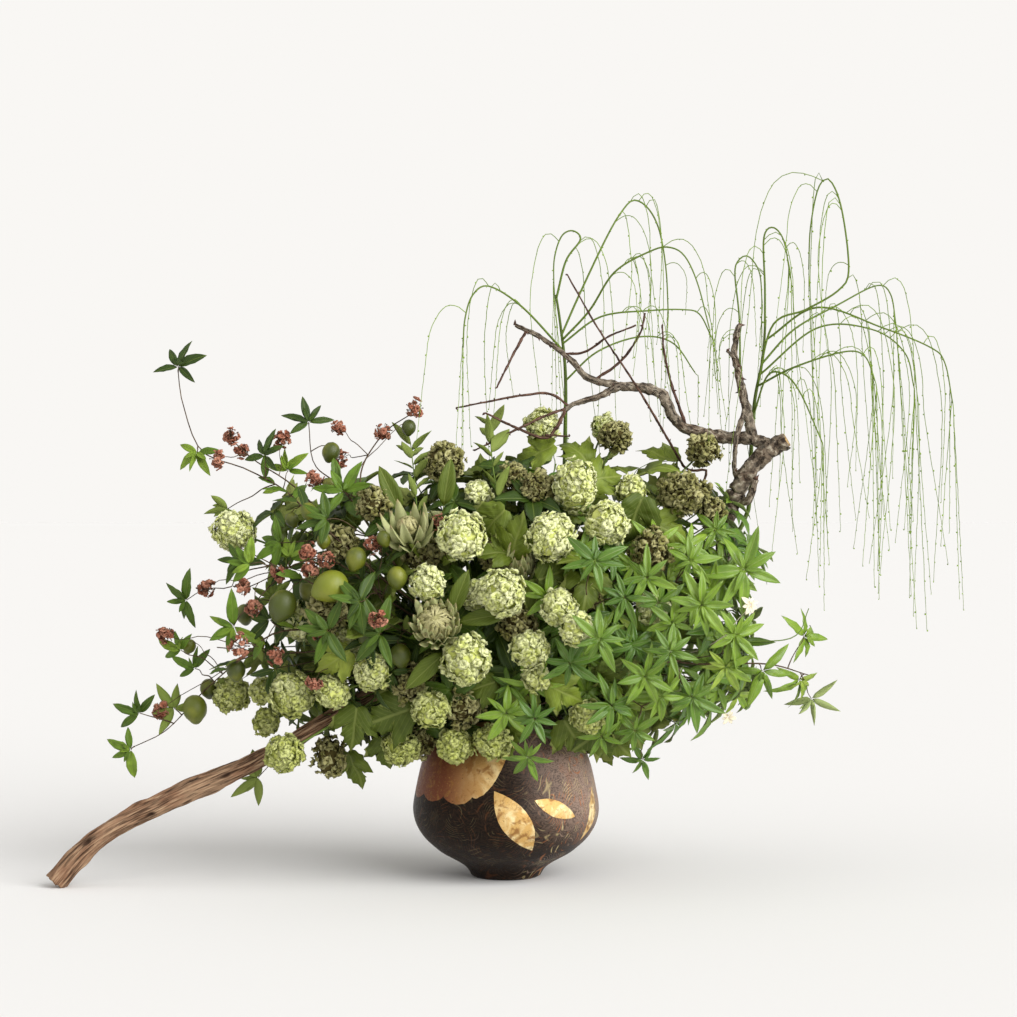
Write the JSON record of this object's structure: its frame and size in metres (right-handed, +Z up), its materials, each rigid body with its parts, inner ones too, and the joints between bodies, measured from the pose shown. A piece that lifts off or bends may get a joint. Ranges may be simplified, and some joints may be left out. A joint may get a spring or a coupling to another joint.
{
  "type": "ikebana arrangement",
  "caption": "Wide ikebana arrangement of snowball blooms, fruiting branches, glossy foliage and weeping strands in a round footed vase, with a driftwood limb leaning to the table.",
  "frame": {"origin": "centre of the vase's foot, on the surface that it stands on", "axes": "+Z up, +X to the right as the arrangement is seen from its front, +Y away from the viewer, towards its back"},
  "size_m": [1.6021, 0.5346, 1.2471],
  "materials": {
    "lacquer": "glossy dark brown brushed lacquer with a mottled gilt band",
    "foam": "soaked floral foam",
    "driftwood": "weathered brown driftwood with lengthwise grain",
    "bark": "rough grey-brown bark",
    "twig": "smooth dark twig bark",
    "strand": "green strands with small buds",
    "snowball": "pale green petals",
    "dried_hydrangea": "dried olive-brown petals",
    "bract": "grey-green pointed bracts",
    "citrus_leaf": "dark glossy leaves and green fruit",
    "whorl_leaf": "glossy bright green leaves",
    "lobed_leaf": "olive-green lobed leaves",
    "russet": "dry red-brown florets",
    "pale_petal": "pale cream petals"
  },
  "bodies": {
    "root": {"vase": "lacquer", "foam": "foam", "driftwood": "driftwood", "old_branch": "bark", "long_twig": "twig", "citrus_branch_1": "citrus_leaf", "citrus_branch_2": "citrus_leaf", "citrus_branch_3": "citrus_leaf", "citrus_branch_4": "citrus_leaf", "citrus_branch_5": "citrus_leaf", "citrus_branch_6": "citrus_leaf", "dried_hydrangea_1": "dried_hydrangea", "dried_hydrangea_2": "dried_hydrangea", "dried_hydrangea_3": "dried_hydrangea", "dried_hydrangea_4": "dried_hydrangea", "dried_hydrangea_5": "dried_hydrangea", "dried_hydrangea_6": "dried_hydrangea", "dried_hydrangea_7": "dried_hydrangea", "dried_hydrangea_rear_1": "dried_hydrangea", "lobed_spray_1": "lobed_leaf", "lobed_spray_2": "lobed_leaf", "lobed_spray_3": "lobed_leaf", "lobed_spray_4": "lobed_leaf", "lobed_spray_5": "lobed_leaf", "narrow_shoot_1": "citrus_leaf", "narrow_shoot_2": "citrus_leaf", "narrow_shoot_3": "citrus_leaf", "pale_flowers": "pale_petal", "protea_1": "bract", "protea_2": "bract", "protea_3": "bract", "russet_sprig_1": "russet", "russet_sprig_2": "russet", "russet_sprig_3": "russet", "russet_sprig_4": "russet", "snowball_1": "snowball", "snowball_10": "snowball", "snowball_2": "snowball", "snowball_3": "snowball", "snowball_4": "snowball", "snowball_5": "snowball", "snowball_6": "snowball", "snowball_7": "snowball", "snowball_8": "snowball", "snowball_9": "snowball", "snowball_rear_1": "snowball", "snowball_rear_2": "snowball", "strands_centre": "strand", "strands_right": "strand", "whorl_rear_1": "whorl_leaf", "whorl_rear_2": "whorl_leaf", "whorl_spray_1": "whorl_leaf", "whorl_spray_2": "whorl_leaf", "whorl_spray_3": "whorl_leaf", "whorl_spray_4": "whorl_leaf", "whorl_spray_5": "whorl_leaf", "whorl_spray_6": "whorl_leaf"}
  },
  "joints": []
}
